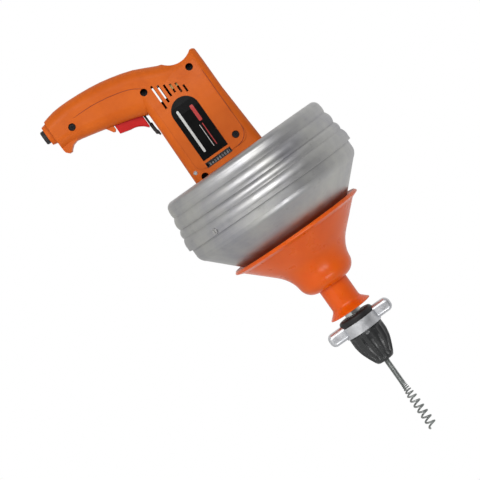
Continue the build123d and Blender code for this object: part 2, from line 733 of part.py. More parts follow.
HUB_HOLES = 4
HUB_PCD = 44.0
with BuildPart() as drive_hub:
    tube(30.0, 6.0, DISH_FLOOR + SHEET, -262.3)
    tube(12.0, 6.0, DISH_FLOOR - 1.5, -254.0)
    with BuildSketch(Plane.YZ.offset(-270)) as holes:
        with PolarLocations(HUB_PCD / 2, HUB_HOLES, 45):
            Circle(2.6)
    extrude(holes.sketch, amount=10, mode=Mode.SUBTRACT)
drive_hub.part.label = "drive_hub"
export_step(drive_hub.part, "parts/drive_hub.step")

with BuildPart() as hub_screws:
    with BuildSketch(Plane.YZ.offset(DISH_FLOOR)) as shanks:
        with PolarLocations(HUB_PCD / 2, HUB_HOLES, 45):
            Circle(2.5)
    extrude(shanks.sketch, amount=-262.3 - DISH_FLOOR)
    with BuildSketch(Plane.YZ.offset(-262.3)) as heads:
        with PolarLocations(HUB_PCD / 2, HUB_HOLES, 45):
            RegularPolygon(4.0, 6, major_radius=False)
    extrude(heads.sketch, amount=3.5)
hub_screws.part.label = "hub_screws"
export_step(hub_screws.part, "parts/hub_screws.step")

with BuildPart() as spindle_nut:
    extrude(hexagon(19.0, -254.0), amount=8.0)
    tube(6.0, 0, -255, -245, mode=Mode.SUBTRACT)
spindle_nut.part.label = "spindle_nut"
export_step(spindle_nut.part, "parts/spindle_nut.step")


def rear_shell_edge(inset):
    """Side line of the beaded rear shell, from the dish to the seam, inset into the drum."""
    r = -inset
    floor = (DISH_FLOOR + inset, 76.0 - r * 0.5)
    wall = (-273.5 - r * 0.7, 81.5 - r * 0.7)
    rim = (DRUM_REAR + inset, 87.5 - r * 0.6)
    corner = (DRUM_REAR + inset, 93.6 + r * 0.4)
    return (
        ("line", (DISH_FLOOR + inset, 12.1), floor),
        ("curve", floor, wall, rim),
        ("line", rim, corner),
        ("curve", corner, (-277.0 - r * 0.7, 99.0 + r * 0.7), (-271.5, 101.3 + r)),
        ("curve", (-271.5, 101.3 + r), (-267.0, 101.8 + r), (-262.2, 101.0 + r)),
        ("curve", (-262.2, 101.0 + r), (-255.5, 104.0 + r), (-247.6, 102.9 + r)),
        ("curve", (-247.6, 102.9 + r), (-242.0, 105.9 + r), (-237.4, 105.2 + r)),
        ("curve", (-237.4, 105.2 + r), (-231.5, 107.8 + r), (-227.0, DRUM_R + r)),
        ("line", (-227.0, DRUM_R + r), (SEAM_X, DRUM_R + r)),
    )


def draw(pieces):
    """Lines and three-point arcs of a side line, for use inside a BuildLine."""
    for kind, *points in pieces:
        if kind == "line":
            Line(*points)
        else:
            ThreePointArc(*points)


DRUM_SCREW_X = -226.6
DRUM_SCREW_ANGLES = (-41.6, 138.4)


def drum_side(angle):
    """A plane on the spindle axis that faces outwards at a drum screw."""
    outward = (0, -cos(radians(angle)), sin(radians(angle)))
    return Plane(origin=(DRUM_SCREW_X, 0, 0), z_dir=outward, x_dir=(1, 0, 0))


def drum_screw_holes():
    """The screw holes in the part being built."""
    for angle in DRUM_SCREW_ANGLES:
        with BuildSketch(drum_side(angle).offset(DRUM_R - 9.0)) as hole:
            Circle(1.75)
        extrude(hole.sketch, amount=15, mode=Mode.SUBTRACT)


with BuildPart() as drum_rear_shell:
    with BuildSketch(Plane.XZ) as section:
        with BuildLine():
            outer = rear_shell_edge(0.0)
            inner = rear_shell_edge(SHEET)
            draw(outer)
            draw(inner)
            Line(outer[0][1], inner[0][1])
            Line(outer[-1][2], inner[-1][2])
        make_face()
    revolve(axis=Axis.X)
    with BuildSketch(Plane.YZ.offset(-270)) as holes:
        with PolarLocations(HUB_PCD / 2, HUB_HOLES, 45):
            Circle(2.6)
    extrude(holes.sketch, amount=5, mode=Mode.SUBTRACT)
    drum_screw_holes()
drum_rear_shell.part.label = "drum_rear_shell"
export_step(drum_rear_shell.part, "parts/drum_rear_shell.step")

LAP_R = DRUM_R - SHEET - 0.02
FRONT_R = 104.6
with BuildPart() as drum_front_shell:
    with BuildSketch(Plane.XZ) as section:
        with BuildLine():
            Polyline((-229.4, LAP_R), (-224.4, LAP_R), (SEAM_X + 1.0, FRONT_R), (-212.5, FRONT_R))
            ThreePointArc((-212.5, FRONT_R), (-206.9, 102.3), (-203.3, 98.7))
            Line((-203.3, 98.7), (CONE_NOSE_X, CONE_NOSE_R))
            Polyline(
                (CONE_NOSE_X, CONE_NOSE_R),
                (CONE_NOSE_X, TUBE_R + 0.02),
                (CONE_NOSE_X - SHEET, TUBE_R + 0.02),
                (CONE_NOSE_X - SHEET, CONE_NOSE_R - 0.5),
            )
            Line((CONE_NOSE_X - SHEET, CONE_NOSE_R - 0.5), (-203.9, 97.5))
            ThreePointArc((-203.9, 97.5), (-207.6, 101.3), (-212.8, FRONT_R - SHEET))
            Polyline(
                (-212.8, FRONT_R - SHEET),
                (SEAM_X + 0.4, FRONT_R - SHEET),
                (-225.0, LAP_R - SHEET),
                (-229.4, LAP_R - SHEET),
                (-229.4, LAP_R),
            )
        make_face()
    revolve(axis=Axis.X)
    drum_screw_holes()
drum_front_shell.part.label = "drum_front_shell"
export_step(drum_front_shell.part, "parts/drum_front_shell.step")

with BuildPart() as drum_screws:
    for angle in DRUM_SCREW_ANGLES:
        start = drum_side(angle)
        with BuildSketch(start.offset(DRUM_R - 5.0)) as shank:
            Circle(1.7)
        extrude(shank.sketch, amount=5.2)
        with BuildSketch(start.offset(DRUM_R + 0.15)) as head:
            Circle(3.1)
        extrude(head.sketch, amount=1.0)
        with BuildSketch(start.offset(DRUM_R + 0.65)) as drive:
            Rectangle(4.6, 0.8)
        extrude(drive.sketch, amount=1.0, mode=Mode.SUBTRACT)
drum_screws.part.label = "drum_screws"
export_step(drum_screws.part, "parts/drum_screws.step")

with BuildPart() as neck_flange:
    tube(19.0, TUBE_R, CONE_NOSE_X - SHEET - 4.0, CONE_NOSE_X - SHEET)
    tube(13.5, TUBE_R, CONE_NOSE_X - SHEET - 12.0, CONE_NOSE_X - SHEET)
neck_flange.part.label = "neck_flange"
export_step(neck_flange.part, "parts/neck_flange.step")

TUBE_REAR = -150.0
TUBE_FRONT = -46.0
with BuildPart() as guide_tube:
    tube(TUBE_R, TUBE_BORE, TUBE_REAR, TUBE_FRONT)
guide_tube.part.label = "guide_tube"
export_step(guide_tube.part, "parts/guide_tube.step")

COIL_TURNS = 6
COIL_PITCH = 6.5
COIL_X = -260.3
OUTER_TURN_R = 96.4
INNER_TURN_R = 90.8
WORKING_REAR = -151.0
with BuildPart() as stored_cable:
    with BuildSketch(Plane.XZ) as section:
        for layer_r, first_x, turns in (
            (OUTER_TURN_R, COIL_X, COIL_TURNS),
            (INNER_TURN_R, COIL_X + COIL_PITCH / 2, COIL_TURNS - 1),
        ):
            with Locations([(first_x + COIL_PITCH * turn, layer_r) for turn in range(turns)]):
                Circle(CABLE_R + 0.25)
    revolve(axis=Axis.X)
    with BuildLine() as lead:
        FilletPolyline((-232.0, 0, 89.5), (-232.0, 0, 0), (WORKING_REAR - 0.3, 0, 0), radius=60.0)
    with BuildSketch(Plane(origin=(-232.0, 0, 89.5), z_dir=(0, 0, -1), x_dir=(1, 0, 0))):
        Circle(CABLE_R)
    sweep(path=lead.line)
stored_cable.part.label = "stored_cable"
export_step(stored_cable.part, "parts/stored_cable.step")

# ---------------------------------------------------------------- hand guard


def guard_edge():
    """Outer side line of the guard from the rim's outer edge to the front flange."""
    Polyline((-175.2, 79.3), (-172.9, 81.3), (-171.6, 80.9))
    Line((-171.6, 80.9), (-168.6, 73.4))
    Line((-168.6, 73.4), (-147.0, 50.6))
    Spline(
        (-147.0, 50.6),
        (-137.5, 41.6),
        (-128.0, 36.0),
        (-118.0, 33.4),
        tangents=((21.6, -22.8), (1.0, -0.12)),
    )
    ThreePointArc((-118.0, 33.4), (-107.3, 28.0), (-103.2, 17.5))
    Line((-103.2, 17.5), (-78.6, 17.5))
    Spline((-78.6, 17.5), (-74.2, 19.9), (-69.4, 25.2), tangents=((1.0, 0.05), (0.65, 0.76)))
    Polyline((-69.4, 25.2), (-68.3, 25.1), (-67.8, 23.4))


BUSH_BORE = TUBE_R + RUNNING
with BuildPart() as hand_guard:
    with BuildSketch(Plane.XZ) as section:
        with BuildLine():
            guard_edge()
            Polyline((-67.8, 23.4), (-68.6, 15.0), (-106.0, 15.0), (-108.0, 26.0))
            ThreePointArc((-108.0, 26.0), (-111.6, 29.4), (-118.0, 31.0))
            Spline(
                (-118.0, 31.0),
                (-129.2, 33.6),
                (-139.2, 39.6),
                (-148.8, 48.8),
                tangents=((-1.0, 0.12), (-21.6, 22.8)),
            )
            Polyline((-148.8, 48.8), (-170.2, 71.4), (-175.2, 79.3))
        make_face()
    revolve(axis=Axis.X)
hand_guard.part.label = "hand_guard"
export_step(hand_guard.part, "parts/hand_guard.step")

with BuildPart() as guard_bushes:
    tube(15.0, BUSH_BORE, -106.0, -98.0)
    tube(15.0, BUSH_BORE, -82.0, -72.0)
guard_bushes.part.label = "guard_bushes"
export_step(guard_bushes.part, "parts/guard_bushes.step")

with BuildPart() as retaining_ring:
    tube(12.8, TUBE_R, -71.4, -69.8)
retaining_ring.part.label = "retaining_ring"
export_step(retaining_ring.part, "parts/retaining_ring.step")

# ---------------------------------------------------------------- chuck

RING_REAR = -62.2
with BuildPart() as chuck_rear_ring:
    with BuildSketch(Plane.XZ) as section:
        with BuildLine():
            Polyline((-54.6, TUBE_R), (RING_REAR, TUBE_R), (RING_REAR, 17.0))
            ThreePointArc((RING_REAR, 17.0), (-61.1, 19.9), (-58.0, 20.9))
            Polyline((-58.0, 20.9), (-54.6, 20.9), (-54.6, TUBE_R))
        make_face()
    revolve(axis=Axis.X)
chuck_rear_ring.part.label = "chuck_rear_ring"
export_step(chuck_rear_ring.part, "parts/chuck_rear_ring.step")

COLLAR_REAR = -54.6
COLLAR_FRONT = -41.5
COLLAR_R = 22.2
EAR_REACH = 40.4
EAR_HALF = 9.0
BODY_SEAT_R = 15.5
with BuildPart() as winged_collar:
    with BuildPart(mode=Mode.PRIVATE) as ears:
        with BuildSketch(Plane.XZ) as ear_side:
            with Locations((-50.6, 0)):
                RectangleRounded(15.4, 2 * EAR_REACH, 6.4)
        extrude(ear_side.sketch, amount=EAR_HALF, both=True)
        fillet(ears.faces().sort_by(Axis.Y)[0].edges(), 4.6)
        fillet(ears.faces().sort_by(Axis.Y)[-1].edges(), 4.6)
        tube(21.1, 0, -60.0, COLLAR_REAR, mode=Mode.SUBTRACT)
    add(ears.part)
    tube(COLLAR_R, 0, COLLAR_REAR, COLLAR_FRONT)
    tube(BODY_SEAT_R, 0, -60.0, -40.0, mode=Mode.SUBTRACT)
winged_collar.part.label = "winged_collar"
export_step(winged_collar.part, "parts/winged_collar.step")

JAW_TILT = 14.0
JAW_R = 3.2
JAW_FRONT_R = 4.0
JAW_REAR_X = -34.0
JAW_FRONT_X = -2.0
NOSE_START = -27.0
NOSE_END_X = -3.4


def jaw_bar(radius, angle, rear_x, front_x):
    """A bar leaning in towards the axis at the front, for a jaw or its hole."""
    slope = tan(radians(JAW_TILT))
    outward = (0, -sin(radians(angle)), cos(radians(angle)))
    reach = JAW_FRONT_R + (JAW_FRONT_X - rear_x) * slope
    origin = (rear_x, outward[1] * reach, outward[2] * reach)
    lean = sin(radians(JAW_TILT))
    heading = (cos(radians(JAW_TILT)), -outward[1] * lean, -outward[2] * lean)
    with BuildSketch(Plane(origin=origin, z_dir=heading)) as section:
        Circle(radius)
    extrude(section.sketch, amount=(front_x - rear_x) / cos(radians(JAW_TILT)))


JAW_ANGLES = (0.0, 120.0, 240.0)
with BuildPart() as chuck_body:
    with BuildSketch(Plane.XZ) as section:
        with BuildLine():
            Polyline(
                (COLLAR_REAR, 0),
                (COLLAR_REAR, BODY_SEAT_R),
                (COLLAR_FRONT + 0.1, BODY_SEAT_R),
                (COLLAR_FRONT + 0.1, 17.0),
                (NOSE_START, 17.0),
                (NOSE_END_X, 9.4),
                (NOSE_END_X, 0),
                (COLLAR_REAR, 0),
            )
        make_face()
    revolve(axis=Axis.X)
    tube(TUBE_R, 0, -60, TUBE_FRONT, mode=Mode.SUBTRACT)
    tube(CABLE_R + 0.6, 0, -60, 10, mode=Mode.SUBTRACT)
    with BuildPart(mode=Mode.PRIVATE) as jaw_holes:
        for angle in JAW_ANGLES:
            jaw_bar(JAW_R + 0.1, angle, JAW_REAR_X - 5.0, 6.0)
    add(jaw_holes.part, mode=Mode.SUBTRACT)
chuck_body.part.label = "chuck_body"
export_step(chuck_body.part, "parts/chuck_body.step")

for number, angle in enumerate(JAW_ANGLES, start=1):
    with BuildPart() as jaw:
        jaw_bar(JAW_R, angle, JAW_REAR_X, JAW_FRONT_X + 2.0)
        tube(CABLE_R + APART, 0, -60, 10, mode=Mode.SUBTRACT)
        block(JAW_FRONT_X, 10, -20, 20, -20, 20, mode=Mode.SUBTRACT)
    jaw.part.label = f"jaw_{number}"
    export_step(jaw.part, f"parts/jaw_{number}.step")

FLUTES = 18
SLEEVE_REAR = -41.1
SLEEVE_FRONT = -0.5
with BuildPart() as nose_sleeve:
    with BuildSketch(Plane.XZ) as section:
        with BuildLine():
            Polyline((-3.1, 7.6), (-3.1, 9.75), (NOSE_START + 0.1, 17.35), (SLEEVE_REAR, 17.35))
            Polyline((SLEEVE_REAR, 17.35), (SLEEVE_REAR, 20.2), (SLEEVE_REAR + 0.7, 20.8), (-30.0, 20.8))
            Spline(
                (-30.0, 20.8),
                (-20.9, 19.1),
                (-12.1, 15.8),
                (-3.6, 11.9),
                tangents=((1.0, -0.02), (1.0, -0.48)),
            )
            ThreePointArc((-3.6, 11.9), (-1.3, 10.6), (SLEEVE_FRONT, 9.0))
            Polyline((SLEEVE_FRONT, 9.0), (SLEEVE_FRONT, 7.6), (-3.1, 7.6))
        make_face()
    revolve(axis=Axis.X)
    with BuildPart(mode=Mode.PRIVATE) as flute:
        start, end = Vector(-30.5, 0, 23.1), Vector(-4.0, 0, 13.1)
        with BuildSketch(Plane(origin=start, z_dir=end - start)) as groove:
            Circle(2.3)
        extrude(groove.sketch, amount=(end - start).length)
        with Locations(start):
            Sphere(2.3)
    with BuildPart(mode=Mode.PRIVATE) as flutes:
        for turn in range(FLUTES):
            add(flute.part.rotate(Axis.X, 360 * turn / FLUTES))
    add(flutes.part, mode=Mode.SUBTRACT)
nose_sleeve.part.label = "nose_sleeve"
export_step(nose_sleeve.part, "parts/nose_sleeve.step")

# ---------------------------------------------------------------- working cable and auger

with BuildPart() as working_cable:
    tube(CABLE_R, 0, WORKING_REAR, AUGER_START)
    with BuildLine() as coil:
        first = (AUGER_START - 0.5, 0, 0)
        Helix(AUGER_PITCH, AUGER_END - AUGER_START - 1, AUGER_R, center=first, direction=(1, 0, 0))
    begin = coil.line @ 0
    with BuildSketch(Plane(origin=begin, z_dir=coil.line % 0)) as wire:
        Circle(AUGER_WIRE_R)
    sweep(wire.sketch, path=coil.line, is_frenet=True)
    block(AUGER_START - 2.0, AUGER_START + 1.0, -0.9, 0.9, 0, AUGER_R)
working_cable.part.label = "working_cable"
export_step(working_cable.part, "parts/working_cable.step")

# ---------------------------------------------------------------- switch, trigger, lever

SWITCH_X = (-417.0, -396.0)
PLUNGER_Z = -80.0
with BuildPart() as switch_body:
    block(*SWITCH_X, -9.0, 9.0, -98.0, -65.0)
    with BuildSketch(Plane.YZ.offset(SWITCH_X[1] - 11.0)) as hole:
        with Locations((0, PLUNGER_Z)):
            Circle(2.8)
    extrude(hole.sketch, amount=12, mode=Mode.SUBTRACT)
switch_body.part.label = "switch_body"
export_step(switch_body.part, "parts/switch_body.step")

with BuildPart() as trigger:
    with BuildSketch(Plane.XZ) as side_view:
        with BuildLine():
            Polyline((-379.5, TRIGGER_TOP), (-360.6, TRIGGER_TOP), (-359.3, -65.4))
            ThreePointArc((-359.3, -65.4), (-366.4, -73.6), (-369.0, -83.0))
            Polyline((-369.0, -83.0), (-372.2, TRIGGER_FOOT), (-388.5, TRIGGER_FOOT), (-379.5, TRIGGER_TOP))
        make_face()
    extrude(side_view.sketch, amount=TRIGGER_HALF, both=True)
    fillet(trigger.edges().filter_by(GeomType.CIRCLE), 1.5)
    with BuildSketch(Plane.YZ.offset(SWITCH_X[1] - 4.0)) as plunger:
        with Locations((0, PLUNGER_Z)):
            Circle(2.5)
    extrude(plunger.sketch, amount=18)
trigger.part.label = "trigger"
export_step(trigger.part, "parts/trigger.step")

with BuildPart() as reversing_lever:
    lever_middle = LEVER_TOP - LEVER_THICK / 2
    with Locations((LEVER_PIVOT_X, 0, lever_middle)):
        Cylinder(6.0, LEVER_THICK)
    block(LEVER_PIVOT_X, -358.0, -3.6, 3.6, LEVER_TOP - LEVER_THICK, LEVER_TOP)
    paddle = (
        (-359.5, LEVER_TOP - LEVER_THICK),
        (-354.0, LEVER_TOP - LEVER_THICK),
        (-345.6, -60.2),
        (-346.0, -58.6),
        (-350.6, -58.4),
        (-357.0, LEVER_TOP),
        (-359.5, LEVER_TOP),
    )
    extrude(face_of(paddle), amount=5.0, both=True)
reversing_lever.part.label = "reversing_lever"
export_step(reversing_lever.part, "parts/reversing_lever.step")

with BuildPart() as case_screws:
    for lug in CASE_LUGS:
        tube(1.7, 0, PLATE_REAR, CASE_REAR + 7.0, lug)
        tube(3.0, 0, PLATE_REAR - 2.0, PLATE_REAR, lug)
case_screws.part.label = "case_screws"
export_step(case_screws.part, "parts/case_screws.step")
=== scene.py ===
"""Looks for the drain snake machine: materials, fine pieces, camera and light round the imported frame."""

import json
from math import cos, pi, radians, sin

import bpy
from mathutils import Matrix, Vector


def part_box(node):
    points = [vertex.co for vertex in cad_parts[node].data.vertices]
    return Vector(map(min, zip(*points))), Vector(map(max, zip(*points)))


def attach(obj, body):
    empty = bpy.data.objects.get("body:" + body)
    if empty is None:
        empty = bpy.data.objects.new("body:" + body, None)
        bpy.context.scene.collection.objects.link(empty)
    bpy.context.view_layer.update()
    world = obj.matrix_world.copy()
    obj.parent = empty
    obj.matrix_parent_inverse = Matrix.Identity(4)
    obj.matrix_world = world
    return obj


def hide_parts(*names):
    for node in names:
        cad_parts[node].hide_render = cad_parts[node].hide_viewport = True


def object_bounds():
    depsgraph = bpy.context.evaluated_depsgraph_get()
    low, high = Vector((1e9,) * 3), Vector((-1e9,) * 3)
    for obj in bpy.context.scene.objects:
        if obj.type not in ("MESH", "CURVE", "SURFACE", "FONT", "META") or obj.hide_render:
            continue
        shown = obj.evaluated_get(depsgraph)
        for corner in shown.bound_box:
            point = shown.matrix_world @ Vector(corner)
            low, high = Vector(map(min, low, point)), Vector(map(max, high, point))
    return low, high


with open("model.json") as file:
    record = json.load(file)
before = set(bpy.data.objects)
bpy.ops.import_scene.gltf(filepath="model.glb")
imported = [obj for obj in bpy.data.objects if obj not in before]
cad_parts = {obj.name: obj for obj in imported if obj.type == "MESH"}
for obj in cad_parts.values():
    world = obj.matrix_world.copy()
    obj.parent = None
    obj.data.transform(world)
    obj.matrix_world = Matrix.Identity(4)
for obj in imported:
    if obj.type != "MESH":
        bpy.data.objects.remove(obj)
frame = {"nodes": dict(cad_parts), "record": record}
NODES = frame["nodes"]
CAD_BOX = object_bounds()
LOW, HIGH = CAD_BOX
MIDDLE = (LOW + HIGH) / 2

# ---------------------------------------------------------------- camera

CAMERA_ROLL = radians(54.7)  # the spindle points this far below level in the picture
CAMERA_TURN = radians(2.0)  # the camera stands a little towards the motor
CAMERA_REACH = 2.4
VIEW_WIDTH = 0.528
VIEW_OFFSET = Vector((-0.0295, 0.0, -0.026))
SENSOR = 36.0

aim = MIDDLE + VIEW_OFFSET
aim.y = 0.0
back = Vector((-sin(CAMERA_TURN), -cos(CAMERA_TURN), 0.0))
level = Vector((cos(CAMERA_TURN), -sin(CAMERA_TURN), 0.0))
upright = Vector((0.0, 0.0, 1.0))
PICTURE_RIGHT = level * cos(CAMERA_ROLL) + upright * sin(CAMERA_ROLL)
PICTURE_UP = upright * cos(CAMERA_ROLL) - level * sin(CAMERA_ROLL)


def facing(right, up, away, place):
    """A matrix whose local X, Y and Z are right, up and away, at place."""
    turn = Matrix((right, up, away)).transposed().to_4x4()
    turn.translation = place
    return turn


camera_data = bpy.data.cameras.new("camera")
camera_data.sensor_width = SENSOR
camera_data.lens = SENSOR * CAMERA_REACH / VIEW_WIDTH
camera_data.clip_start = 0.05
camera_data.clip_end = 60.0
camera = bpy.data.objects.new("camera", camera_data)
camera.matrix_world = facing(PICTURE_RIGHT, PICTURE_UP, back, aim + back * CAMERA_REACH)
bpy.context.collection.objects.link(camera)
bpy.context.scene.camera = camera
bpy.context.scene.view_settings.view_transform = "Standard"

# ---------------------------------------------------------------- light and floor


def softbox(name, direction, distance, size, power):
    """A rectangular area light that looks at the middle of the object from a direction."""
    data = bpy.data.lights.new(name, "AREA")
    data.shape = "RECTANGLE"
    data.size, data.size_y = size
    data.energy = power
    box = bpy.data.objects.new(name, data)
    toward = Vector(direction).normalized()
    box.location = aim + toward * distance
    box.rotation_euler = toward.to_track_quat("Z", "Y").to_euler()
    bpy.context.collection.objects.link(box)


softbox("key_light", back - level * 0.40, 2.2, (0.9, 1.9), 25)
softbox("front_light", back * 0.8 + level * 0.75 + upright * 0.1, 2.4, (0.6, 1.3), 13)

world = bpy.data.worlds.new("studio")
bpy.context.scene.world = world
world.use_nodes = True
air = world.node_tree
air.nodes.clear()
air_out = air.nodes.new("ShaderNodeOutputWorld")
air_light = air.nodes.new("ShaderNodeBackground")
air_light.inputs["Color"].default_value = (1.0, 1.0, 1.0, 1.0)
air_place = air.nodes.new("ShaderNodeTexCoord")
air_split = air.nodes.new("ShaderNodeSeparateXYZ")
air_ramp = air.nodes.new("ShaderNodeMapRange")
air_ramp.interpolation_type = "SMOOTHSTEP"
air_ramp.inputs["From Min"].default_value = -0.9
air_ramp.inputs["From Max"].default_value = 0.5
air_ramp.inputs["To Min"].default_value = 0.18
air_ramp.inputs["To Max"].default_value = 0.72
air_path = air.nodes.new("ShaderNodeLightPath")
air_pick = air.nodes.new("ShaderNodeMath")
air_pick.operation = "MAXIMUM"
air.links.new(air_place.outputs["Generated"], air_split.inputs[0])
air.links.new(air_split.outputs["Y"], air_ramp.inputs["Value"])
air.links.new(air_ramp.outputs["Result"], air_pick.inputs[0])
air.links.new(air_path.outputs["Is Camera Ray"], air_pick.inputs[1])
air.links.new(air_pick.outputs[0], air_light.inputs["Strength"])
air.links.new(air_light.outputs[0], air_out.inputs["Surface"])

# ---------------------------------------------------------------- material helpers


class Surface:
    """A principled material with small helpers for procedural detail, in metres of the object."""

    def __init__(self, name, colour, roughness, metallic=0.0, **settings):
        self.material = bpy.data.materials.new(name)
        self.material.use_nodes = True
        tree = self.material.node_tree
        self.nodes, self.links = tree.nodes, tree.links
        self.shader = self.nodes["Principled BSDF"]
        self.place = self.nodes.new("ShaderNodeTexCoord").outputs["Object"]
        self.set("Base Color", (*colour, 1.0))
        self.set("Roughness", roughness)
        self.set("Metallic", metallic)
        for socket, value in settings.items():
            self.set(socket.replace("_", " "), value)

    def set(self, socket, value):
        self.shader.inputs[socket].default_value = value

    def link(self, output, socket):
        self.links.new(output, self.shader.inputs[socket])

    def stretched(self, x, y, z):
        """Object coordinates scaled along each axis."""
        node = self.nodes.new("ShaderNodeMapping")
        node.inputs["Scale"].default_value = (x, y, z)
        self.links.new(self.place, node.inputs["Vector"])
        return node.outputs[0]

    def along_axis(self, across=1.0, around=0.0):
        """Coordinates of distance along the spindle and radius from it, with a little of the angle."""
        split = self.nodes.new("ShaderNodeSeparateXYZ")
        self.links.new(self.place, split.inputs[0])
        squares = []
        for letter in "YZ":
            square = self.math("POWER", split.outputs[letter], 2.0)
            squares.append(square)
        radius = self.math("SQRT", self.math("ADD", squares[0], squares[1]), 0.0)
        turn = self.math("ARCTAN2", split.outputs["Z"], split.outputs["Y"])
        node = self.nodes.new("ShaderNodeCombineXYZ")
        self.links.new(self.math("MULTIPLY", split.outputs["X"], across), node.inputs["X"])
        self.links.new(self.math("MULTIPLY", radius, across), node.inputs["Y"])
        self.links.new(self.math("MULTIPLY", turn, around), node.inputs["Z"])
        return node.outputs[0]

    def math(self, operation, first, second):
        node = self.nodes.new("ShaderNodeMath")
        node.operation = operation
        for slot, value in enumerate((first, second)):
            if isinstance(value, (int, float)):
                node.inputs[slot].default_value = value
            else:
                self.links.new(value, node.inputs[slot])
        return node.outputs[0]

    def noise(self, scale, detail=3.0, roughness=0.55, vector=None):
        node = self.nodes.new("ShaderNodeTexNoise")
        node.inputs["Scale"].default_value = scale
        node.inputs["Detail"].default_value = detail
        node.inputs["Roughness"].default_value = roughness
        self.links.new(vector or self.place, node.inputs["Vector"])
        return node.outputs["Fac"]

    def cells(self, scale, vector=None):
        node = self.nodes.new("ShaderNodeTexVoronoi")
        node.inputs["Scale"].default_value = scale
        self.links.new(vector or self.place, node.inputs["Vector"])
        return node.outputs["Distance"]

    def ramp(self, value, low, high, start, end):
        """value from low..high turned into start..end."""
        node = self.nodes.new("ShaderNodeMapRange")
        node.inputs["From Min"].default_value = low
        node.inputs["From Max"].default_value = high
        node.inputs["To Min"].default_value = start
        node.inputs["To Max"].default_value = end
        self.links.new(value, node.inputs["Value"])
        return node.outputs["Result"]

    def blend(self, value, first, second):
        """A colour between first and second; each is a colour or an earlier blend's output."""
        node = self.nodes.new("ShaderNodeMix")
        node.data_type = "RGBA"
        self.links.new(value, node.inputs["Factor"])
        for socket, colour in ((node.inputs[6], first), (node.inputs[7], second)):
            if isinstance(colour, tuple):
                socket.default_value = (*colour, 1.0)
            else:
                self.links.new(colour, socket)
        return node.outputs[2]

    def bump(self, height, distance, strength=1.0):
        """Adds relief of this height in metres, on top of any earlier relief."""
        node = self.nodes.new("ShaderNodeBump")
        node.inputs["Strength"].default_value = strength
        node.inputs["Distance"].default_value = distance
        self.links.new(height, node.inputs["Height"])
        earlier = self.shader.inputs["Normal"].links
        if earlier:
            self.links.new(earlier[0].from_socket, node.inputs["Normal"])
        self.link(node.outputs[0], "Normal")

    def crevice(self, distance=0.006):
        """How open each point is, from 0 in a corner to 1 in the open."""
        node = self.nodes.new("ShaderNodeAmbientOcclusion")
        node.inputs["Distance"].default_value = distance
        node.samples = 6
        return node.outputs["AO"]


def plastic(name, colour, shade, roughness, grain=0.00002, grain_scale=2600, corner_shade=0.35, **settings):
    """Moulded plastic: cloudy colour, fine grain, painted shade darkening its corners, worn smoother in
    patches.
    """
    made = Surface(name, colour, roughness, **settings)
    cloud = made.ramp(made.noise(28, 4), 0.35, 0.7, 0.0, 1.0)
    base = made.blend(cloud, colour, shade)
    # painted shade: ambient occlusion darkens corners and creases towards a dark copy of the colour
    corner_shade_mask = made.ramp(made.crevice(), 0.25, 0.85, corner_shade, 0.0)
    dark = tuple(part * 0.25 for part in shade)
    made.link(made.blend(corner_shade_mask, base, dark), "Base Color")
    made.link(made.ramp(made.noise(60, 5), 0.3, 0.7, roughness - 0.07, roughness + 0.09), "Roughness")
    made.bump(made.noise(grain_scale, 2), grain)
    made.bump(made.noise(90, 2), 0.00012, 0.35)
    return made


def metal(name, colour, shade, roughness, grain=0.00001, grain_scale=1800, stretch=None, **settings):
    """Bare metal: two tones, painted shade in its corners, uneven shine, and fine relief that may run in one
    direction.
    """
    made = Surface(name, colour, roughness, 1.0, **settings)
    vector = made.stretched(*stretch) if stretch else None
    cloud = made.ramp(made.noise(45, 5), 0.35, 0.7, 0.0, 1.0)
    base = made.blend(cloud, colour, shade)
    # painted shade: ambient occlusion darkens corners towards a dark copy of the colour
    corner_shade_mask = made.ramp(made.crevice(0.003), 0.2, 0.8, 0.5, 0.0)
    dark = tuple(part * 0.3 for part in shade)
    made.link(made.blend(corner_shade_mask, base, dark), "Base Color")
    made.link(made.ramp(made.noise(140, 4), 0.3, 0.7, roughness - 0.06, roughness + 0.1), "Roughness")
    made.bump(made.noise(grain_scale, 2, vector=vector), grain)
    return made


LOOKS = {}
LOOKS["orange_shell"] = plastic(
    "orange_shell", (0.70, 0.135, 0.008), (0.62, 0.108, 0.005), 0.46, corner_shade=0.75, Specular_IOR_Level=0.20
)
LOOKS["orange_guard"] = plastic(
    "orange_guard",
    (0.84, 0.120, 0.003),
    (0.76, 0.100, 0.002),
    0.30,
    grain=0.000006,
    corner_shade=0.0,
    Specular_IOR_Level=0.3,
    Coat_Weight=0.10,
    Coat_Roughness=0.12,
    Subsurface_Weight=0.2,
    Subsurface_Scale=0.006,
)
LOOKS["black_plate"] = plastic(
    "black_plate", (0.004, 0.004, 0.004), (0.006, 0.006, 0.006), 0.30, grain=0.000004, Specular_IOR_Level=0.06
)
LOOKS["black_plastic"] = plastic(
    "black_plastic", (0.016, 0.015, 0.016), (0.024, 0.022, 0.023), 0.42, Specular_IOR_Level=0.35
)
LOOKS["black_sleeve"] = plastic(
    "black_sleeve", (0.013, 0.014, 0.015), (0.024, 0.025, 0.026), 0.30, corner_shade=0.9, Specular_IOR_Level=0.65
)
LOOKS["black_rubber"] = plastic("black_rubber", (0.016, 0.016, 0.016), (0.028, 0.027, 0.026), 0.62)
LOOKS["black_screw"] = metal("black_screw", (0.030, 0.030, 0.032), (0.015, 0.015, 0.016), 0.42)
LOOKS["red_plastic"] = plastic(
    "red_plastic", (0.58, 0.009, 0.009), (0.50, 0.007, 0.007), 0.34, grain=0.00001, Specular_IOR_Level=0.20
)
LOOKS["cast_alloy"] = metal(
    "cast_alloy", (0.42, 0.42, 0.43), (0.30, 0.30, 0.31), 0.46, grain=0.00004, grain_scale=900
)
LOOKS["bright_steel"] = metal("bright_steel", (0.62, 0.62, 0.61), (0.50, 0.50, 0.50), 0.26)
LOOKS["polished_steel"] = metal(
    "polished_steel", (0.66, 0.67, 0.66), (0.48, 0.49, 0.48), 0.14, stretch=(8, 0.6, 0.6)
)
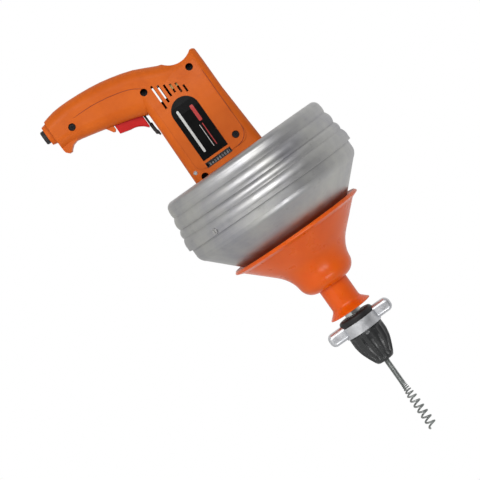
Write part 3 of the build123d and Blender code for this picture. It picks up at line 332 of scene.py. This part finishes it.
LOOKS["gear_steel"] = metal("gear_steel", (0.36, 0.36, 0.37), (0.26, 0.26, 0.27), 0.32)
LOOKS["cable_steel"] = metal("cable_steel", (0.40, 0.42, 0.41), (0.27, 0.29, 0.28), 0.42)
LOOKS["lamination"] = metal(
    "lamination", (0.30, 0.30, 0.31), (0.20, 0.20, 0.21), 0.45, stretch=(3.0, 0.05, 0.05)
)
LOOKS["copper"] = metal("copper", (0.60, 0.25, 0.12), (0.45, 0.16, 0.08), 0.30)
LOOKS["bronze"] = metal("bronze", (0.50, 0.34, 0.14), (0.36, 0.24, 0.10), 0.35)
LOOKS["carbon"] = plastic("carbon", (0.020, 0.020, 0.020), (0.030, 0.030, 0.030), 0.50)

# Spun sheet: hoop lines from the spinning tool, cloudy oxide, a few darker stains, and painted shade in its
# corners and valleys
drum = Surface("drum_metal", (0.50, 0.50, 0.50), 0.44, 1.0, Anisotropic=0.3)
hoops = drum.noise(1.0, 4, 0.7, drum.along_axis(2600, 0.6))
haze = drum.ramp(drum.noise(18, 5, 0.6), 0.35, 0.68, 0.0, 1.0)
tone = drum.blend(haze, (0.56, 0.56, 0.53), (0.38, 0.38, 0.42))
tone = drum.blend(drum.ramp(hoops, 0.35, 0.7, 0.0, 0.5), tone, (0.60, 0.59, 0.57))
stain = drum.ramp(drum.noise(52, 6, 0.7), 0.60, 0.78, 0.0, 0.5)
tone = drum.blend(stain, tone, (0.22, 0.215, 0.20))
# painted shade: ambient occlusion darkens corners and hoop valleys
valley_shade_mask = drum.ramp(drum.crevice(0.004), 0.35, 0.95, 0.6, 0.0)
drum.link(drum.blend(valley_shade_mask, tone, (0.14, 0.14, 0.15)), "Base Color")
drum.link(drum.ramp(drum.noise(75, 5), 0.3, 0.7, 0.37, 0.51), "Roughness")
drum.bump(hoops, 0.000012)
drum.bump(drum.noise(38, 2), 0.00015, 0.4)
tangent = drum.nodes.new("ShaderNodeTangent")
tangent.direction_type = "RADIAL"
tangent.axis = "X"
drum.link(tangent.outputs[0], "Tangent")
LOOKS["drum_metal"] = drum
LOOKS["white_ink"] = plastic("white_ink", (0.66, 0.66, 0.64), (0.58, 0.58, 0.56), 0.4, grain=0.000004, corner_shade=0.0)
LOOKS["red_ink"] = plastic("red_ink", (0.48, 0.018, 0.014), (0.38, 0.014, 0.012), 0.4, grain=0.000004, corner_shade=0.0)

# Cast collar, tumbled bright with a faintly pebbled skin
collar = metal("collar_metal", (0.80, 0.81, 0.83), (0.62, 0.63, 0.66), 0.40)
collar.bump(collar.cells(420), 0.00004, 0.4)
LOOKS["collar_metal"] = collar

for part in frame["record"]["subparts"]:
    node = NODES[part["node"]]
    node.data.materials.clear()
    node.data.materials.append(LOOKS[part["material_slot"]].material)

# ---------------------------------------------------------------- mesh helpers


def mesh_piece(name, points, faces, look, body):
    """A mesh object in the row frame that rides on a body."""
    mesh = bpy.data.meshes.new(name)
    mesh.from_pydata([tuple(p) for p in points], [], faces)
    mesh.update()
    mesh.shade_smooth()
    mesh.materials.append(LOOKS[look].material)
    piece = bpy.data.objects.new(name, mesh)
    bpy.context.collection.objects.link(piece)
    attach(piece, body)
    return piece


def wire_along(path, radii, sides, widen=1.0):
    """Points and faces of a wire along a path, its ends domed; widen makes it an oval across the path."""
    points, faces = [], []
    side = Vector((0, 1, 0))
    count = len(path)
    for k, place in enumerate(path):
        ahead = path[min(k + 1, count - 1)] - path[max(k - 1, 0)]
        ahead.normalize()
        side = (side - ahead * side.dot(ahead)).normalized()
        other = ahead.cross(side)
        for j in range(sides):
            a = 2 * pi * j / sides
            points.append(place + side * (radii[k] * widen * cos(a)) + other * (radii[k] * sin(a)))
    for k in range(count - 1):
        for j in range(sides):
            here, along = k * sides + j, k * sides + (j + 1) % sides
            faces.append((here, along, along + sides, here + sides))
    for ring, sign in ((0, -1), (count - 1, 1)):
        step = path[ring] - path[ring - sign]
        points.append(path[ring] + step.normalized() * (radii[ring] * 0.7))
        tip = len(points) - 1
        for j in range(sides):
            a, b = ring * sides + j, ring * sides + (j + 1) % sides
            faces.append((a, b, tip) if sign > 0 else (b, a, tip))
    return points, faces


# ---------------------------------------------------------------- wire cable and auger

cable_low, cable_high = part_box("working_cable")
COIL_R = 0.00250
WIRE_R = 0.00064
AUGER_WIRE_R = 0.00112
CLOSE_PITCH = 0.00135
OPEN_PITCH = 0.0072
AUGER_R = 0.0047
OPENS_AT = cable_low.x + 0.180
OPENING = 0.030
TIP_AT = cable_high.x - AUGER_WIRE_R
STEPS = 20

path, radii = [], []
x, angle = cable_low.x + 0.001, 0.6
while x < TIP_AT:
    share = min(max((x - OPENS_AT) / OPENING, 0.0), 1.0)
    eased = share * share * (3 - 2 * share)
    pitch = CLOSE_PITCH + (OPEN_PITCH - CLOSE_PITCH) * eased
    radius = COIL_R + (AUGER_R - COIL_R) * min(eased * 1.3, 1.0)
    path.append(Vector((x, radius * sin(angle), radius * cos(angle))))
    radii.append(WIRE_R + (AUGER_WIRE_R - WIRE_R) * eased)
    x += pitch / STEPS
    angle += 2 * pi / STEPS
wire_points, wire_faces = wire_along(path, radii, 8)
cable = mesh_piece("cable_wire", wire_points, wire_faces, "cable_steel", "working_cable")
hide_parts("working_cable")

# ---------------------------------------------------------------- printed label and body lines


RAY_START = 0.2


def on_side(node, x, z, side, lift):
    """The point lift metres off a CAD node's outer face at x and z, on the side -1 or +1 of Y."""
    origin = Vector((x, side * RAY_START, z))
    struck, place = NODES[node].ray_cast(origin, Vector((0, -side, 0)), distance=RAY_START)[:2]
    if not struck:
        raise ValueError(f"{node} has no face at {x:.4f}, {z:.4f}")
    return place + Vector((0, side * lift, 0))


INK_LIFT = 0.00006
PRINT_STEPS = 24


def printed(name, look, side, start, end, low, high, corner):
    """A rounded bar of ink that lies on the nameplate from start to end along x."""
    rows = []
    for k in range(PRINT_STEPS + 1):
        x = start + (end - start) * (1 - cos(pi * k / PRINT_STEPS)) / 2
        near = min(x - start, end - x)
        cut = 0.0
        if near < corner:
            cut = corner - (corner**2 - (corner - near) ** 2) ** 0.5
        heights = (low + cut, (low + high) / 2, high - cut)
        rows.append([on_side("nameplates", x, z, side, INK_LIFT) for z in heights])
    points = [place for row in rows for place in row]
    faces = []
    for k in range(PRINT_STEPS):
        for j in range(2):
            a = 3 * k + j
            face = (a, a + 3, a + 4, a + 1)
            faces.append(face if side < 0 else face[::-1])
    return mesh_piece(name, points, faces, look, "root")


plate_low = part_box("nameplates")[0]
# name, ink, start and end from the plate's rear, foot and top from its lower edge, corner radius
BARS = (
    ("label_band", "white_ink", 0.011, 0.0645, 0.0060, 0.0088, 0.0013),
    ("label_block", "red_ink", 0.014, 0.034, 0.0215, 0.0255, 0.0012),
    ("label_rule", "white_ink", 0.037, 0.0645, 0.0188, 0.0194, 0.0002),
    ("label_stripe", "red_ink", 0.037, 0.0645, 0.0222, 0.0232, 0.0003),
)
for side, hand in ((-1, "right"), (1, "left")):
    rear, low = plate_low.x, plate_low.z
    for bar, ink, start, end, foot, top, corner in BARS:
        printed(f"{bar}_{hand}", ink, side, rear + start, rear + end, low + foot, low + top, corner)

# thin raised beads along the grip's crease and the pad's edge; their dark orange is painted shade of the crease
# and the step
LOOKS["shade_line"] = plastic("shade_line", (0.34, 0.042, 0.004), (0.28, 0.034, 0.003), 0.5, corner_shade=0.2)

# x and z of the crease that parts the grip's rounded back from its flat side
CREASE = (
    (-0.3940, -0.0430),
    (-0.4035, -0.0575),
    (-0.4090, -0.0735),
    (-0.4125, -0.0905),
    (-0.4145, -0.1075),
    (-0.4148, -0.1280),
)
CREASE_R = 0.00035


def between(p, q, r, s, t):
    """The Catmull-Rom value a share t of the way from q to r."""
    return (2 * q + (r - p) * t + (2 * p - 5 * q + 4 * r - s) * t**2 + (3 * q - p - 3 * r + s) * t**3) / 2


def smooth_run(corners, steps):
    """Points on a Catmull-Rom curve through the corners."""
    ends = [corners[0], *corners, corners[-1]]
    run = []
    for span in zip(ends, ends[1:], ends[2:], ends[3:]):
        for k in range(steps):
            run.append(tuple(between(*values, k / steps) for values in zip(*span)))
    run.append(corners[-1])
    return run


# the raised pad's edge, along the top and round the upper front screw
PAD_TOP_Z = 0.0172
PAD_FRONT_X = -0.2873
PAD_CORNER = 0.0150
pad_edge = [(-0.3780 + 0.0110 * k, PAD_TOP_Z) for k in range(6)]
pad_edge += [
    (PAD_FRONT_X - PAD_CORNER * (1 - sin(radians(a))), PAD_TOP_Z - PAD_CORNER * (1 - cos(radians(a))))
    for a in (0, 22, 45, 68, 90)
]
pad_edge += [(PAD_FRONT_X, -0.0030)]

for side, shell in ((-1, "right_housing"), (1, "left_housing")):
    for line, corners in (("crease", CREASE), ("pad_edge", pad_edge)):
        route = [on_side(shell, x, z, side, 0.0) for x, z in smooth_run(corners, 10)]
        slim = [CREASE_R * min(1.0, 0.2 + min(k, len(route) - 1 - k) / 8) for k in range(len(route))]
        line_points, line_faces = wire_along(route, slim, 8)
        mesh_piece(f"{shell}_{line}", line_points, line_faces, "shade_line", "root")

# ---------------------------------------------------------------- reversing lever's paddle

lever_low, lever_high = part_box("reversing_lever")
PADDLE_R = 0.0020
PADDLE_WIDEN = 2.4
paddle_route = smooth_run(
    (
        (lever_high.x - 0.0165, lever_low.z + 0.0020),
        (lever_high.x - 0.0125, lever_low.z + 0.0018),
        (lever_high.x - 0.0080, lever_low.z + 0.0022),
        (lever_high.x - 0.0034, lever_high.z - 0.0026),
    ),
    8,
)
paddle_path = [Vector((x, 0.0, z)) for x, z in paddle_route]
paddle_radii = [PADDLE_R] * len(paddle_path)
paddle_points, paddle_faces = wire_along(paddle_path, paddle_radii, 24, PADDLE_WIDEN)
mesh_piece("lever_paddle", paddle_points, paddle_faces, "black_plastic", "reversing_lever")

# ---------------------------------------------------------------- fluted nose sleeve

FLUTES = 18
SLEEVE_TURN = 360
sleeve_low, sleeve_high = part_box("nose_sleeve")
SLEEVE_R = sleeve_high.z
SLEEVE_LONG = sleeve_high.x - sleeve_low.x
WALL_R = 0.01735
LIP_R = 0.0076

# distance behind the sleeve's front and radius, from where the barrel ends to the nose
NOSE_CURVE = ((0.0295, SLEEVE_R), (0.0204, 0.0191), (0.0116, 0.0158), (0.0031, 0.0119))
# the same for the hollow inside, from the lip back to the rear
HOLLOW = ((0.0, LIP_R), (0.0026, LIP_R), (0.0026, 0.0098), (0.0289, WALL_R), (SLEEVE_LONG, WALL_R))


def flute_depth(behind):
    """How deep the flutes are at a distance behind the sleeve's front: shallow at the rear, deep in front."""
    share = 1.0 - behind / SLEEVE_LONG
    rise = min(max((share - 0.04) / 0.06, 0.0), 1.0)
    fall = min(max((0.93 - share) / 0.12, 0.0), 1.0)
    return (0.0009 + 0.0009 * share) * rise * fall


barrel = [(SLEEVE_LONG - 0.0007 - 0.0009 * k, SLEEVE_R) for k in range(12)]
outline = [(SLEEVE_LONG, SLEEVE_R - 0.0006), *barrel, *smooth_run(NOSE_CURVE, 12)]
outline += [(0.0018, 0.0110), (0.0008, 0.0103), (0.0, 0.0090)]

sleeve_rows = []
for behind, radius in outline:
    depth = flute_depth(behind)
    waves = [abs(sin(pi * FLUTES * j / SLEEVE_TURN)) ** 0.8 for j in range(SLEEVE_TURN)]
    sleeve_rows.append([(sleeve_high.x - behind, radius - depth * wave) for wave in waves])
sleeve_rows += [[(sleeve_high.x - behind, radius)] * SLEEVE_TURN for behind, radius in HOLLOW]
sleeve_points = [
    (x, radius * sin(2 * pi * j / SLEEVE_TURN), radius * cos(2 * pi * j / SLEEVE_TURN))
    for row in sleeve_rows
    for j, (x, radius) in enumerate(row)
]
sleeve_faces = []
for k in range(len(sleeve_rows)):
    ahead = (k + 1) % len(sleeve_rows)
    for j in range(SLEEVE_TURN):
        beside = (j + 1) % SLEEVE_TURN
        corners = [(k, j), (ahead, j), (ahead, beside), (k, beside)]
        sleeve_faces.append([row * SLEEVE_TURN + turn for row, turn in corners])
sleeve = mesh_piece("fluted_sleeve", sleeve_points, sleeve_faces, "black_sleeve", "nose_sleeve")
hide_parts("nose_sleeve")

# ---------------------------------------------------------------- floor

FLOOR_DROP = 0.80
FLOOR_R = 2.4
floor_look = Surface("floor", (0.86, 0.86, 0.85), 0.8)
floor_look.link(
    floor_look.blend(floor_look.noise(1.5, 2), (0.87, 0.87, 0.86), (0.84, 0.84, 0.83)),
    "Base Color",
)
rim = [(FLOOR_R * cos(2 * pi * k / 96), FLOOR_R * sin(2 * pi * k / 96), 0.0) for k in range(96)]
floor_mesh = bpy.data.meshes.new("floor")
floor_mesh.from_pydata(rim, [], [tuple(range(96))])
floor_mesh.materials.append(floor_look.material)
floor = bpy.data.objects.new("floor", floor_mesh)
floor.location = (MIDDLE.x, 0.0, LOW.z - FLOOR_DROP)
bpy.context.collection.objects.link(floor)
